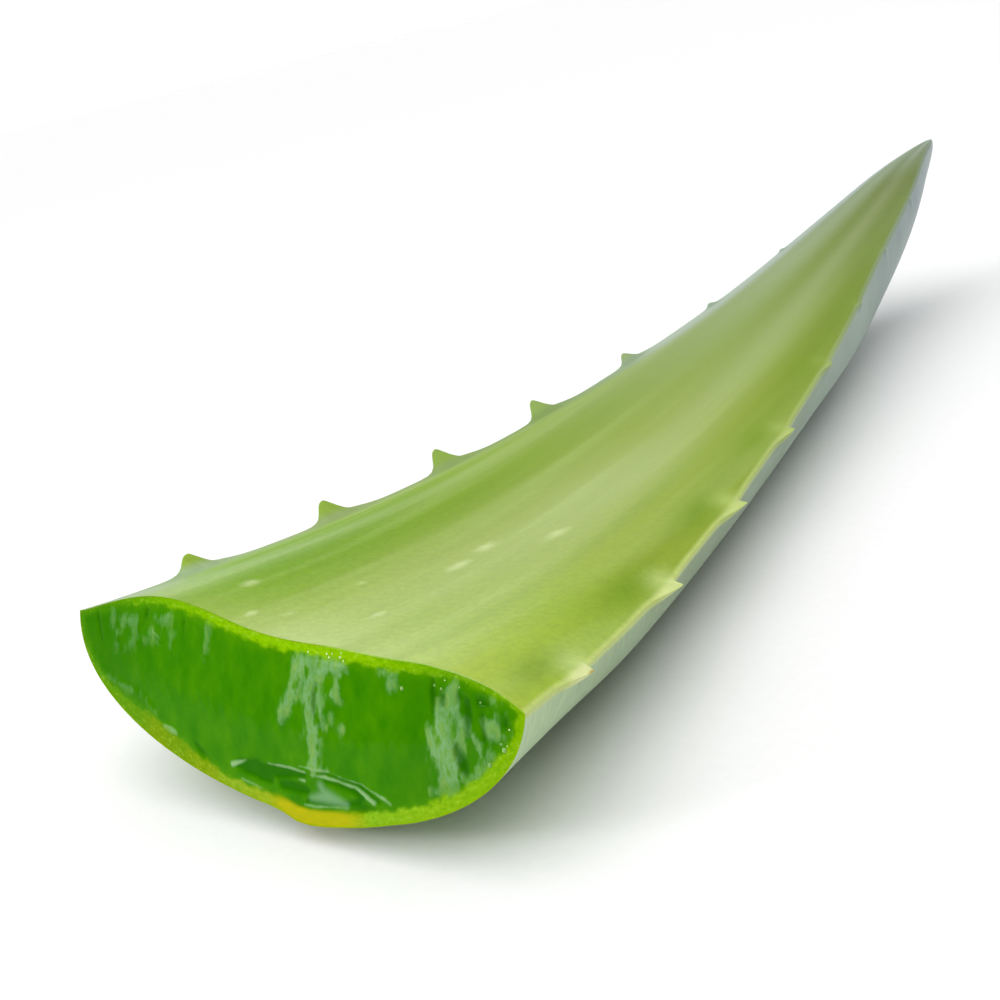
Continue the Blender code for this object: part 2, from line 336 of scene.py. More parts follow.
# Each stroke runs over the cut as (x, z, half width). Smears are films of gel.
SMEARS = (
    ((3.7, -0.1, 0.9), (6.4, 0.1, 1.2), (9.4, 0.1, 0.5)),
    ((4.2, -0.7, 0.8), (3.0, -2.9, 0.6), (1.9, -4.8, 0.5), (1.3, -6.0, 0.3)),
    ((5.9, -0.5, 1.2), (5.1, -2.1, 0.8), (4.9, -3.3, 0.7), (5.3, -4.6, 0.8), (5.6, -6.0, 0.9),
     (5.7, -7.0, 0.8)),
    ((6.1, -1.9, 0.2), (6.4, -3.7, 0.35), (6.6, -4.9, 0.4), (6.9, -6.1, 0.1)),
    ((5.0, -7.2, 0.3), (5.7, -7.9, 0.7), (5.9, -8.9, 0.5), (5.9, -9.6, 0.9)),
    ((7.4, -2.6, 0.4), (8.7, -2.7, 0.5)),
    ((9.1, -0.5, 0.3), (8.7, -1.9, 0.3)),
    ((7.9, -4.6, 0.1), (9.0, -5.6, 0.25)),
    ((14.3, 0.4, 0.4), (15.5, 0.5, 0.5), (15.2, -0.8, 0.4)),
    ((22.2, 0.4, 0.5), (22.2, -0.6, 0.5), (22.3, -1.3, 1.0), (21.6, -2.6, 1.2), (21.6, -4.2, 1.9),
     (21.6, -5.9, 1.7), (22.0, -7.4, 1.5)),
    ((23.4, -2.8, 0.6), (24.2, -3.4, 0.5), (24.8, -4.1, 0.2)),
    ((25.3, -4.4, 0.3), (25.7, -5.4, 0.4), (25.7, -6.4, 0.5), (25.1, -7.3, 0.6), (24.0, -8.0, 0.3)),
    ((20.3, -9.5, 0.2), (21.8, -9.1, 0.35), (23.1, -8.5, 0.2)),
    ((26.8, -0.4, 0.2), (27.3, -1.5, 0.35)),
    ((26.0, -2.8, 0.5), (26.7, -3.0, 0.9), (27.6, -3.3, 0.4)),
    ((26.4, -5.1, 0.3), (26.8, -5.5, 0.2)),
    ((-22.7, 0.9, 0.5), (-20.0, 1.0, 0.5), (-20.6, -0.7, 0.35), (-21.6, -2.0, 0.2)),
    ((-24.0, 1.8, 0.3), (-24.1, 0.0, 0.2)),
    ((-23.4, -0.6, 0.3), (-23.5, -1.9, 0.1)),
    ((-16.9, 1.6, 0.3), (-15.2, 1.8, 0.5)),
    ((-18.6, -0.8, 0.2), (-17.8, 0.1, 0.3), (-16.5, -0.6, 0.1)),
    ((-14.6, 0.2, 0.3), (-14.7, -0.8, 0.1)),
    ((-9.2, 1.9, 0.4), (-9.1, 0.3, 0.1), (-9.6, -1.6, 0.1)),
    ((-25.7, -5.5, 0.0), (-23.3, -5.9, 0.15), (-21.0, -6.4, 0.15), (-19.0, -7.1, 0.15), (-17.7, -8.0, 0.0)),
)
CRACKS = (
    ((6.0, -1.9, 0.0), (5.7, -3.0, 0.1), (5.7, -3.9, 0.1), (5.9, -4.8, 0.1), (6.5, -5.5, 0.1),
     (6.7, -6.1, 0.0)),
    ((20.0, 0.4, 0.2), (20.0, -1.1, 0.2), (20.1, -3.4, 0.05)),
    ((21.2, -1.0, 0.2), (21.2, -1.5, 0.2)),
    ((23.1, -0.6, 0.2), (23.1, -1.0, 0.1)),
    ((23.8, -1.0, 0.3), (24.0, -2.3, 0.4), (24.1, -3.8, 0.2)),
    ((25.5, -1.8, 0.1), (25.7, -4.0, 0.2)),
    ((25.2, -0.8, 0.4), (25.9, -0.8, 0.3)),
    ((27.9, -2.3, 0.3), (28.1, -2.5, 0.2)),
    ((22.8, -4.9, 0.2), (23.5, -6.5, 0.5), (23.9, -7.3, 0.1)),
    ((-26.8, 1.3, 0.1), (-26.2, -1.7, 0.0)),
    ((-18.4, 2.4, 0.1), (-19.2, 0.7, 0.0)),
    ((-12.7, 1.9, 0.0), (-12.8, -0.1, -0.1)),
)
# Where the pool of gel and its folds turn up to the light, and where they turn away
GLEAMS = (
    ((-5.7, -11.5, 0.25), (-3.7, -10.7, 0.0)),
    ((-0.6, -10.5, 0.0), (2.2, -10.4, 0.06), (4.4, -10.5, 0.0)),
    ((5.2, -10.6, 0.0), (7.1, -10.5, 0.08), (8.8, -10.6, 0.06), (11.0, -10.8, 0.08),
     (12.1, -11.3, 0.14), (13.1, -11.8, 0.2)),
    ((3.6, -10.0, -0.05), (5.2, -10.0, 0.0), (6.5, -9.9, 0.06), (7.6, -9.9, 0.0)),
    ((7.6, -9.9, -0.1), (9.4, -10.2, -0.05), (11.6, -10.3, -0.03), (13.0, -10.8, 0.0),
     (14.5, -11.2, 0.12), (15.1, -11.5, 0.08)),
    ((4.3, -13.6, 0.0), (6.0, -13.5, 0.03), (8.2, -13.1, 0.0), (9.8, -12.9, -0.05)),
    ((3.6, -11.3, 0.0), (4.3, -11.3, 0.1)),
    ((-4.4, -12.7, 0.0), (-3.0, -12.9, 0.08), (-1.6, -13.1, 0.0)),
    ((-16.0, -9.4, 0.22), (-15.2, -9.5, 0.32), (-14.3, -9.7, 0.26)),
)
SHADES = (
    ((-4.6, -11.3, 0.5), (-2.4, -11.3, 0.9), (-0.5, -11.7, 0.7)),
    ((-1.6, -11.2, 0.4), (0.9, -11.0, 0.7), (4.3, -10.8, 0.2)),
    ((1.3, -12.2, 0.4), (3.6, -12.1, 0.5), (4.7, -12.2, 0.3)),
    ((7.1, -10.8, 0.1), (8.8, -10.9, 0.18), (10.7, -11.1, 0.25), (11.6, -11.5, 0.35), (11.3, -12.1, 0.3),
     (9.5, -12.6, 0.2), (6.9, -13.1, 0.14), (4.7, -13.2, 0.1)),
    ((6.9, -10.1, 0.05), (9.0, -10.4, 0.08), (11.4, -10.5, 0.12), (12.7, -11.1, 0.15),
     (13.7, -11.6, 0.12)),
    ((10.5, -13.0, 0.2), (12.0, -12.6, 0.4), (13.1, -12.4, 0.2)),
    ((-11.2, -10.3, 0.1), (-10.2, -11.1, 0.3), (-8.8, -11.8, 0.0)),
)
# The pale reflection that lies in the pool
SHEENS = (
    ((5.2, -12.8, 0.2), (7.2, -12.3, 0.65), (9.6, -12.6, 0.25)),
    ((7.2, -12.4, 0.5), (6.4, -11.4, 0.3)),
)
smear, smear_down = field(SMEARS)
crack, _ = field(CRACKS)
gleam, _ = field(GLEAMS)
shade, _ = field(SHADES)
sheen, _ = field(SHEENS)

# How wide the rind is round the rim, over the top and under the leaf, as x and a width
RIND_ABOVE = ((-30, 0.25), (-25, 0.35), (-21, 0.8), (-14, 1.0), (0, 1.1), (10, 1.1), (16, 0.95),
              (20, 0.8), (24, 0.55), (28, 0.5), (30, 0.8))
RIND_BELOW = ((-30, 0.4), (-26, 0.8), (-22, 1.6), (-18, 2.1), (-14, 2.0), (-10, 1.5), (-7, 1.1),
              (-4, 1.2), (5, 1.0), (10, 1.0), (15, 1.3), (28, 1.5), (30, 0.9))
rim_x = rim[np.floor(rim_at).astype(int) % len(rim), 0]
over = (rim_at >= UNDER_STEPS).astype(float)
rind_width = np.where(over, np.interp(rim_x, *zip(*RIND_ABOVE)), np.interp(rim_x, *zip(*RIND_BELOW)))

# How far the cut stands out. The gel swells away from the rim, films and folds lie on it in low
# relief, and the knife's edge has rounded the rind off at the rim.
SWELL = (0.2, 5)  # how high, and how far in from the rim
FILM = (0.2, 0.9)  # for this and the next ones: how high or deep, and over what width its edge runs
CRACK = (0.12, 0.8)
GLEAM = (0.08, 0.4)
SHADE = (0.08, 0.6)
RIM_ROUND = (0.12, 0.5)
FILM_TOP = 0.4  # a film's thickness where it starts, as a share of where it ends
FILM_RISE = 0.8  # it thickens over this distance from the rind
RIPPLE = 0.01
RIPPLE_RISE = 2  # the ripples fade in over this distance from the rim
POOL_EDGE = (0.8, 0.4)  # and leave the pool smooth: the radius where they start, and over how much
bulge = SWELL[0] * (1 - np.exp(-((rim_gap / SWELL[1]) ** 2)))
film_thick = (FILM_TOP + (1 - FILM_TOP) * smear_down) * smooth((rim_gap - rind_width) / FILM_RISE)
bulge += FILM[0] * smooth(smear / FILM[1] + 0.5) * film_thick
bulge -= CRACK[0] * smooth(crack / CRACK[1] + 0.5)
bulge += GLEAM[0] * smooth(gleam / GLEAM[1] + 0.5) - SHADE[0] * smooth(shade / SHADE[1] + 0.5)
bulge += RIPPLE * (
    np.sin(1.9 * x + 1.3 * np.sin(0.7 * z)) * np.sin(0.8 * z + 0.6 * np.sin(0.9 * x))
    + 0.6 * np.sin(4.3 * x + 2.0 * np.sin(1.1 * z)) * np.sin(1.3 * z + 0.4 * x)
) * smooth(rim_gap / RIPPLE_RISE) * smooth((pool_radius(inner) - POOL_EDGE[0]) / POOL_EDGE[1])
bulge -= RIM_ROUND[0] * (1 - smooth(rim_gap / RIM_ROUND[1]))
face = np.stack([x, -bulge, z], -1) / 1000

count = skin.shape[1]
loop = [(index, (index + 1) % count) for index in range(count)]
flat = [Vector(point) for point in np.vstack([rim, inner])]
_, _, triangles, _, _, _ = delaunay_2d_cdt(flat, loop, [], 1, MERGE_GAP)

rings = len(along_u)
grown = np.vstack([skin.reshape(-1, 3), face, centre(np.array([1.0]))])
tip = len(grown) - 1
faces = []
for ring in range(rings - 1):
    for index in range(count):
        after = (index + 1) % count
        start = ring * count
        faces.append((start + index, start + after, start + count + after, start + count + index))
last = (rings - 1) * count
faces += [(last + index, last + (index + 1) % count, tip) for index in range(count)]
skin_faces = len(faces)
faces += [tuple(v if v < count else v + last for v in triangle) for triangle in triangles]

# The leaf is turned onto its underside and set down, where its skin gives a little
LAY = Euler((math.radians(-19.2), math.radians(1.8), 0)).to_matrix()
SET_DOWN = np.array((0.000358, -0.094005, 0.016671))
BLADE_CREASE = math.radians(50)  # the rim of the cut is sharper than this


def laid(points):
    points = points @ np.array(LAY).T + SET_DOWN
    points[..., 2] = np.maximum(points[..., 2], 0)
    return points


def placed(name, data):
    """A new object of the scene that shows some data."""
    thing = bpy.data.objects.new(name, data)
    bpy.context.scene.collection.objects.link(thing)
    return thing


mesh = bpy.data.meshes.new("leaf_blade")
mesh.from_pydata(laid(grown).tolist(), [], faces)
mesh.update()
mesh.shade_smooth()
mesh.set_sharp_from_angle(angle=BLADE_CREASE)
blade = placed("leaf_blade", mesh)


def store(name, on_skin, on_cut, at_tip=(0, 0, 0)):
    """Gives every point of the blade three numbers that its materials can read."""
    skin_rows = np.stack([np.broadcast_to(v, skin.shape[:2]) for v in on_skin], -1)
    cut_rows = np.stack([np.broadcast_to(v, len(face)) for v in on_cut], -1)
    values = np.concatenate([skin_rows.ravel(), cut_rows.ravel(), at_tip])
    mesh.attributes.new(name, "FLOAT_VECTOR", "POINT").data.foreach_set("vector", values)


def beside_teeth(offset, along, inward, reach):
    """A soft patch beside each tooth, at a place along the margin in metres and inwards in mm."""
    patches = []
    for margin in (left_margin, right_margin):
        inward_mm = margin_gap[margin.across] * 1000
        across = np.exp(-((inward_mm - inward) ** 2) / reach)
        patches.append(margin.beside(along_u, offset, along) * across)
    return sum(patches)


MARGIN_LINE = 0.02  # mm: the points of the margin itself count as half upper side, half underside
SIDE_SHIFT = 7  # mm: keeps the patterns of the upper side and of the underside apart
LATEX_PROFILE = ((-1, 0), (1, 0.5), (4, 1), (8, 0.8), (13, 0))  # x, and how thick it lies
LATEX_REACH = 1.9  # how far up from the rim it reaches
LATEX_TOP = -8
pale_root = beside_teeth(0.0006, 0.0026, 0.8, 2.5)
# Painted shade beside each tooth, on the cut's side of its point
dark_root_shade = beside_teeth(-0.0046, 0.0058, 2.8, 4)
edge = np.where(margin_gap[1] < margin_gap[-1], margin_gap[1], -margin_gap[-1]) * 1000
top = np.where(abs(edge) < MARGIN_LINE, 0.5, on_top)
latex = np.interp(x, *zip(*LATEX_PROFILE)) * smooth(LATEX_REACH - rim_gap) * (z < LATEX_TOP)
length_mm = along_u * REACH * 1000
across_mm = ring_across * half_width(along_u) * 1000
store("place", (along_u, ring_across, top), (0, 0, 0), (1, 0, 1))
store("grain", (length_mm, across_mm, SIDE_SHIFT * top), (0, x, z), (REACH * 1000, 0, 0))
store("edge", (edge, 0, 0), (0, 0, 0))
store("teeth", (tooth_share, pale_root, dark_root_shade), (0, 0, 0))
store("cut", (skin[..., 0] * 1000, skin[..., 2] * 1000, 0), (x, z, rim_gap))
store("gel", (OUTSIDE, OUTSIDE, drip), (smear, crack, latex))
store("pool", (OUTSIDE, OUTSIDE, OUTSIDE), (gleam, shade, sheen))
store("rind", (skin[..., 0] / (2 * HALF_WIDTH) + 0.5, on_top, -1),
      (rim_x / (2000 * HALF_WIDTH) + 0.5, over, rim_gap - rind_width))


def hex_colour(code):
    """An sRGB hex colour as linear red, green, blue and alpha."""
    parts = [int(code[i : i + 2], 16) / 255 for i in (1, 3, 5)]
    return [p / 12.92 if p <= 0.04045 else ((p + 0.055) / 1.055) ** 2.4 for p in parts] + [1.0]


def surface(name):
    """A new material and its shader."""
    material = bpy.data.materials.new(name)
    material.use_nodes = True
    return material, material.node_tree.nodes["Principled BSDF"]


def feed(material, node, inputs):
    """Sets a node's inputs, each to another node's output, a hex colour or a plain value."""
    for name, value in inputs.items():
        if isinstance(value, bpy.types.NodeSocket):
            material.node_tree.links.new(value, node.inputs[name])
        else:
            node.inputs[name].default_value = hex_colour(value) if isinstance(value, str) else value


def add(material, kind, inputs={}, stops=(), **settings):
    """Adds a node with its settings, links and values, and a ramp's stops, and gives its outputs."""
    node = material.node_tree.nodes.new("ShaderNode" + kind)
    for name, value in settings.items():
        setattr(node, name, value)
    feed(material, node, inputs)
    elements = node.color_ramp.elements if stops else ()
    for index, (position, colour) in enumerate(stops):
        element = elements[index] if index < 2 else elements.new(position)
        element.position = position
        element.color = hex_colour(colour)
    return node.outputs


# A Mix node's inputs are 0 the share, 6 the colour below and 7 the one above, and its output is 2.
# A MapRange node's are 0 the value, 1 and 2 where it starts and ends, 3 and 4 what it gives there.
MIX = {"data_type": "RGBA"}
SMOOTH = {"interpolation_type": "SMOOTHSTEP"}


def tint(material, below, above, value, start, end, most=1.0):
    """Lays one colour over another, up to a share of most as a value passes from start to end."""
    share = add(material, "MapRange", {0: value, 1: start, 2: end, 4: most}, **SMOOTH)[0]
    return add(material, "Mix", {0: share, 6: below, 7: above}, **MIX)[2]


def stored(material, name):
    """The three numbers that the blade's points hold under a name."""
    held = add(material, "Attribute", attribute_name=name)["Vector"]
    return add(material, "SeparateXYZ", {0: held})


# Leaf skin: a waxy cuticle over green tissue, grown, not made. Its wax gives a satin sheen at low angles,
# part of which is painted sheen in the colour below, and greys the underside; pale flecks and lengthwise
# streaks lie in the tissue beneath.
waxy_skin, shader = surface("waxy_leaf_skin")
grain = add(waxy_skin, "Attribute", attribute_name="grain")["Vector"]
u_out, across_out, top_out = stored(waxy_skin, "place")
edge_mm = stored(waxy_skin, "edge")[0]
tooth, root_pale, root_shade = stored(waxy_skin, "teeth")
drip_out = stored(waxy_skin, "gel")[2]

# The upper side's green from the cut to the tip, on the left and on the right. Its greying towards the tip is
# partly painted sheen.
left_flesh_and_sheen = add(waxy_skin, "ValToRGB", {0: u_out}, stops=(
    (0.0, "#84aa1c"), (0.05, "#76a400"), (0.1, "#72a000"), (0.22, "#789e08"), (0.34, "#83a22e"),
    (0.5, "#8ba350"), (0.75, "#93a576"), (0.9, "#8b9b78"), (1.0, "#8f9e88")))[0]
right_flesh_and_sheen = add(waxy_skin, "ValToRGB", {0: u_out}, stops=(
    (0.0, "#a6c03c"), (0.1, "#96b42c"), (0.2, "#94aa30"), (0.32, "#8ca430"), (0.5, "#7d951e"),
    (0.75, "#6f8434"), (0.9, "#6c7d40"), (1.0, "#7d8c74")))[0]
# Pale along the middle of the upper side: a painted sheen, laid over the shine the wax gives
middle_sheen = add(waxy_skin, "ValToRGB", {0: u_out}, stops=(
    (0.0, "#adc466"), (0.06, "#9cb64a"), (0.15, "#9ab150"), (0.3, "#9aaf58"), (0.42, "#90a644"),
    (0.6, "#899f4c"), (0.78, "#7a8e42"), (0.9, "#708144"), (1.0, "#83937e")))[0]
upper = tint(waxy_skin, left_flesh_and_sheen, right_flesh_and_sheen, across_out, 0.0, 0.5)
from_middle = add(waxy_skin, "Math", {0: across_out, 1: -0.2}, operation="ADD")[0]
from_middle = add(waxy_skin, "Math", {0: from_middle}, operation="ABSOLUTE")[0]
upper = tint(waxy_skin, upper, middle_sheen, from_middle, 0.68, 0.2)

# Lengthwise streaks, some 4 mm wide and 70 mm long, pale ones and darker ones
STREAK_SCALE = (0.014, 0.24, 0.5)  # per mm
streak_run = add(waxy_skin, "Mapping", {0: grain, 3: STREAK_SCALE})[0]
streaks = add(waxy_skin, "TexNoise", {"Vector": streak_run, "Scale": 1.0, "Detail": 2.0})[0]
near_cut = add(waxy_skin, "MapRange", {0: u_out, 1: 0.25, 2: 0.7, 3: 1.0, 4: 0.15}, **SMOOTH)[0]
for low, high, most, colour in ((0.45, 0.75, 0.3, "#b9cf80"), (0.45, 0.25, 0.25, "#6f9418")):
    share = add(waxy_skin, "MapRange", {0: streaks, 1: low, 2: high, 4: most}, **SMOOTH)[0]
    share = add(waxy_skin, "Math", {0: share, 1: near_cut}, operation="MULTIPLY")[0]
    upper = add(waxy_skin, "Mix", {0: share, 6: upper, 7: colour}, **MIX)[2]

# Pale flecks, each at (length, across, size) in mm, drawn out along the leaf
FLECKS = (
    (9.0, -11.8, 1.2), (3.0, -5.9, 0.7), (5.9, -3.2, 0.7), (17.7, -3.4, 0.6), (10.0, 4.9, 1.0),
    (26.9, 2.7, 1.6), (33.3, 1.9, 1.5), (37.2, 9.0, 1.6),
)
FLECK_STRETCH = 1.9
FLECK_SHARE = 0.65
fleck_share = 0.0
ragged = add(waxy_skin, "TexNoise", {"Vector": grain, "Scale": 0.6, "Detail": 1.0})[0]
ragged = add(waxy_skin, "MapRange", {0: ragged, 1: 0.3, 2: 0.7, 3: -0.15, 4: 0.15}, **SMOOTH)[0]
for length, across, size in FLECKS:
    fleck_at = (-length / FLECK_STRETCH, -across, 0)
    near = add(waxy_skin, "Mapping", {0: grain, 1: fleck_at, 3: (1 / FLECK_STRETCH, 1, 0)})[0]
    near = add(waxy_skin, "VectorMath", {0: near}, operation="LENGTH")["Value"]
    near = add(waxy_skin, "Math", {0: ragged, 1: near}, operation="ADD")[0]
    near = add(waxy_skin, "MapRange", {0: near, 1: size, 2: 0.0}, **SMOOTH)[0]
    fleck_share = add(waxy_skin, "Math", {0: near, 1: fleck_share}, operation="MAXIMUM")[0]
fleck_share = add(waxy_skin, "Math", {0: fleck_share, 1: FLECK_SHARE}, operation="MULTIPLY")[0]
upper = add(waxy_skin, "Mix", {0: fleck_share, 6: upper, 7: "#ccdd98"}, **MIX)[2]

# Along the right margin, most of all on the cut's side of each tooth, the flesh is painted a deeper green
# where it shows no sheen: painted shade. It is pale at the tooth's root. The left margin is greyer near the
# cut and towards the tip: partly its wax bloom, partly painted sheen.
margin_shade_band = add(waxy_skin, "ValToRGB", {0: across_out}, stops=(
    (0.70, "#000000"), (0.88, "#ffffff"), (0.97, "#b0b0b0")))[0]
band_run = add(waxy_skin, "ValToRGB", {0: u_out}, stops=(
    (0.05, "#000000"), (0.15, "#a0a0a0"), (0.6, "#b0b0b0"), (0.8, "#000000")))[0]
margin_shade_share = add(waxy_skin, "Math", {0: margin_shade_band, 1: band_run}, operation="MULTIPLY")[0]
upper = add(waxy_skin, "Mix", {0: margin_shade_share, 6: upper, 7: "#6c8a00"}, **MIX)[2]
right_half = add(waxy_skin, "MapRange", {0: across_out, 1: 0.0, 2: 0.5}, **SMOOTH)[0]
pale_flesh = add(waxy_skin, "ValToRGB", {0: u_out}, stops=(
    (0.0, "#c8db8c"), (0.3, "#afc566"), (0.6, "#8ea644")))[0]
for patch, most, colour in ((root_shade, 0.85, "#6f9400"), (root_pale, 0.8, pale_flesh)):
    share = add(waxy_skin, "Math", {0: patch, 1: most}, operation="MULTIPLY", use_clamp=True)[0]
    share = add(waxy_skin, "Math", {0: share, 1: right_half}, operation="MULTIPLY")[0]
    upper = add(waxy_skin, "Mix", {0: share, 6: upper, 7: colour}, **MIX)[2]
# The grey along the left margin is partly wax bloom and partly painted sheen
left_edge_bloom_and_sheen = add(waxy_skin, "ValToRGB", {0: u_out}, stops=(
    (0.03, "#789858"), (0.1, "#9cb08a"), (0.2, "#90a26c"), (0.45, "#76904c"), (0.62, "#8ea38c"),
    (0.8, "#93a698"), (1.0, "#98a8a4")))[0]
edge_shift = add(waxy_skin, "ValToRGB", {0: u_out}, stops=(
    (0.02, "#000000"), (0.10, "#ffffff"), (0.45, "#ffffff"), (0.62, "#000000")))[0]
edge_across = add(waxy_skin, "Math", {0: edge_shift, 1: 0.2, 2: across_out}, operation="MULTIPLY_ADD")[0]
upper = tint(waxy_skin, upper, left_edge_bloom_and_sheen, edge_across, -0.58, -0.8, 0.85)

# The wax lies on the underside as a grey bloom, in patches some 20 mm long and 2 to 3 mm wide
BLOOM_SCALE = (0.05, 0.4, 0.4)  # per mm
under = add(waxy_skin, "ValToRGB", {0: u_out}, stops=(
    (0.0, "#b4cc9e"), (0.1, "#95ae82"), (0.25, "#798f69"), (0.6, "#819888"), (0.85, "#6e8284"),
    (1.0, "#8b9ca0")))[0]
bloom = add(waxy_skin, "Mapping", {0: grain, 3: BLOOM_SCALE})[0]
bloom = add(waxy_skin, "TexNoise", {"Vector": bloom, "Scale": 1.0, "Detail": 3.0})[0]
under = tint(waxy_skin, under, "#9db3a2", bloom, 0.35, 0.7, 0.3)
skin_colour = add(waxy_skin, "Mix", {0: top_out, 6: under, 7: upper}, **MIX)[2]

# The right margin is a thin pale line, and the teeth on it pale to cream with a brown point. Line
# and teeth lose their contrast towards the tip.
on_right = add(waxy_skin, "MapRange", {0: edge_mm, 1: -0.05, 2: 0.05}, **SMOOTH)[0]
line_share = add(waxy_skin, "Math", {0: edge_mm}, operation="ABSOLUTE")[0]
line_share = add(waxy_skin, "MapRange", {0: line_share, 1: 0.75, 2: 0.2, 4: 0.85}, **SMOOTH)[0]
line_share = add(waxy_skin, "Math", {0: line_share, 1: on_right}, operation="MULTIPLY")[0]
line_run = add(waxy_skin, "MapRange", {0: u_out, 1: 0.3, 2: 0.7, 3: 1.0, 4: 0.75}, **SMOOTH)[0]
line_share = add(waxy_skin, "Math", {0: line_share, 1: line_run}, operation="MULTIPLY")[0]
line_tint = add(waxy_skin, "ValToRGB", {0: u_out}, stops=(
    (0.2, "#c4d478"), (0.45, "#a4b868"), (0.62, "#889c72"), (0.85, "#82938a")))[0]
skin_colour = add(waxy_skin, "Mix", {0: line_share, 6: skin_colour, 7: line_tint}, **MIX)[2]
right_tooth = add(waxy_skin, "ValToRGB", {0: u_out}, stops=(
    (0.05, "#dbe2a0"), (0.2, "#c4d480"), (0.45, "#a0b45c"), (0.65, "#889c6c")))[0]
left_tooth = add(waxy_skin, "ValToRGB", {0: u_out}, stops=(
    (0.1, "#84a400"), (0.4, "#86a540"), (0.7, "#8fa274")))[0]
tooth_colour = add(waxy_skin, "Mix", {0: on_right, 6: left_tooth, 7: right_tooth}, **MIX)[2]
skin_colour = tint(waxy_skin, skin_colour, tooth_colour, tooth, 0.1, 0.5, 0.9)
point_share = add(waxy_skin, "MapRange", {0: tooth, 1: 0.62, 2: 0.72, 4: 0.85}, **SMOOTH)[0]
point_run = add(waxy_skin, "MapRange", {0: u_out, 1: 0.12, 2: 0.08}, **SMOOTH)[0]
point_share = add(waxy_skin, "Math", {0: point_share, 1: point_run}, operation="MULTIPLY")[0]
point_share = add(waxy_skin, "Math", {0: point_share, 1: on_right}, operation="MULTIPLY")[0]
skin_colour = add(waxy_skin, "Mix", {0: point_share, 6: skin_colour, 7: "#a8821c"}, **MIX)[2]
skin_colour = tint(waxy_skin, skin_colour, "#b8ae10", drip_out, 0.1, 0.7, 0.8)

# Fine speckle, 0.7 mm across, in tone and in relief, and less wax shine along the left margin
SPECKLE_SCALE = 1.5  # per mm
SPECKLE_RELIEF = 0.0002
speckle = add(waxy_skin, "TexNoise", {
    "Vector": grain, "Scale": SPECKLE_SCALE, "Detail": 3.0, "Roughness": 0.65})[0]
tone = add(waxy_skin, "MapRange", {0: speckle, 1: 0.3, 2: 0.7, 3: 0.93, 4: 1.07}, **SMOOTH)[0]
tone_run = add(waxy_skin, "MapRange", {0: u_out, 1: 0.05, 2: 0.4, 3: 1.0, 4: 0.25}, **SMOOTH)[0]
speckled = add(waxy_skin, "HueSaturation", {"Color": skin_colour, "Value": tone, "Fac": tone_run})[0]
matt_run = add(waxy_skin, "ValToRGB", {0: u_out}, stops=(
    (0.02, "#000000"), (0.1, "#ffffff"), (0.5, "#ffffff"), (0.6, "#000000")))[0]
matt_share = add(waxy_skin, "MapRange", {0: across_out, 1: -0.55, 2: -0.75}, **SMOOTH)[0]
matt_share = add(waxy_skin, "Math", {0: matt_share, 1: matt_run}, operation="MULTIPLY")[0]
matt_share = add(waxy_skin, "Math", {0: matt_share, 1: top_out}, operation="MULTIPLY")[0]
roughness = add(waxy_skin, "MapRange", {0: matt_share, 3: 0.34, 4: 0.6}, **SMOOTH)[0]
relief = add(waxy_skin, "Bump", {"Height": speckle, "Strength": 0.12, "Distance": SPECKLE_RELIEF})[0]
feed(waxy_skin, shader, {"Base Color": speckled, "Roughness": roughness, "IOR": 1.45,
                         "Specular IOR Level": 0.3, "Normal": relief})

# The cut: a knife has laid open the rind, bright lime and opaque, and the clear gel that fills the
# leaf. The gel shows the green behind it, and the sap on it glints as a thin wet coat.
wet_cut, shader = surface("wet_cut_rind_and_gel")
cut_at = add(wet_cut, "Attribute", attribute_name="cut")["Vector"]
cut_x, _, cut_rim = stored(wet_cut, "cut")
smear_out, crack_out, latex_out = stored(wet_cut, "gel")
gleam_out, shade_out, sheen_out = stored(wet_cut, "pool")
rim_out, over_out, beyond_rind = stored(wet_cut, "rind")

# The gel is cloudy, in patches some 2 mm wide and 4 mm high, and darker towards both corners
CLOUD_SCALE = (0.42, 0.28, 0.0)  # per mm
cloud = add(wet_cut, "Mapping", {0: cut_at, 3: CLOUD_SCALE})[0]
cloud = add(wet_cut, "TexNoise", {"Vector": cloud, "Scale": 1.0, "Detail": 5.0, "Roughness": 0.6})[0]
cut_colour = add(wet_cut, "ValToRGB", {0: cloud}, stops=(
    (0.3, "#307c00"), (0.45, "#3a8400"), (0.58, "#428a00"), (0.72, "#4e9200")))[0]
cut_colour = tint(wet_cut, cut_colour, "#2f7600", cut_x, -14.0, -26.0, 0.7)
cut_colour = tint(wet_cut, cut_colour, "#2f7400", cut_x, 12.0, 24.0, 0.45)

# Runs of gel down the cut, with torn edges, thinner on the left. Their pale colour is partly the film's own
# and partly a painted highlight where the wet film catches the light.
TORN_SCALE = (1.0, 0.5, 0.0)  # per mm
TORN_EDGE = 0.7  # mm that the edge strays
torn = add(wet_cut, "Mapping", {0: cut_at, 3: TORN_SCALE})[0]
torn = add(wet_cut, "TexNoise", {"Vector": torn, "Scale": 1.0, "Detail": 4.0, "Roughness": 0.5})[0]
torn_mm = add(wet_cut, "MapRange", {0: torn, 1: 0.25, 2: 0.75, 3: -TORN_EDGE, 4: TORN_EDGE}, **SMOOTH)[0]
smear_mm = add(wet_cut, "Math", {0: smear_out, 1: torn_mm}, operation="ADD")[0]
film_highlight_tint = add(wet_cut, "ValToRGB", {0: torn}, stops=(
    (0.3, "#549618"), (0.40, "#70a448"), (0.5, "#86b47a"), (0.58, "#76a956"), (0.66, "#8ab260"),
    (0.8, "#609c24")))[0]
film_highlight_share = add(wet_cut, "MapRange", {0: smear_mm, 1: -0.5, 2: 0.6, 4: 0.85}, **SMOOTH)[0]
film_thins = add(wet_cut, "MapRange", {0: cut_x, 1: -15.0, 2: 0.0, 3: 0.5, 4: 1.0}, **SMOOTH)[0]
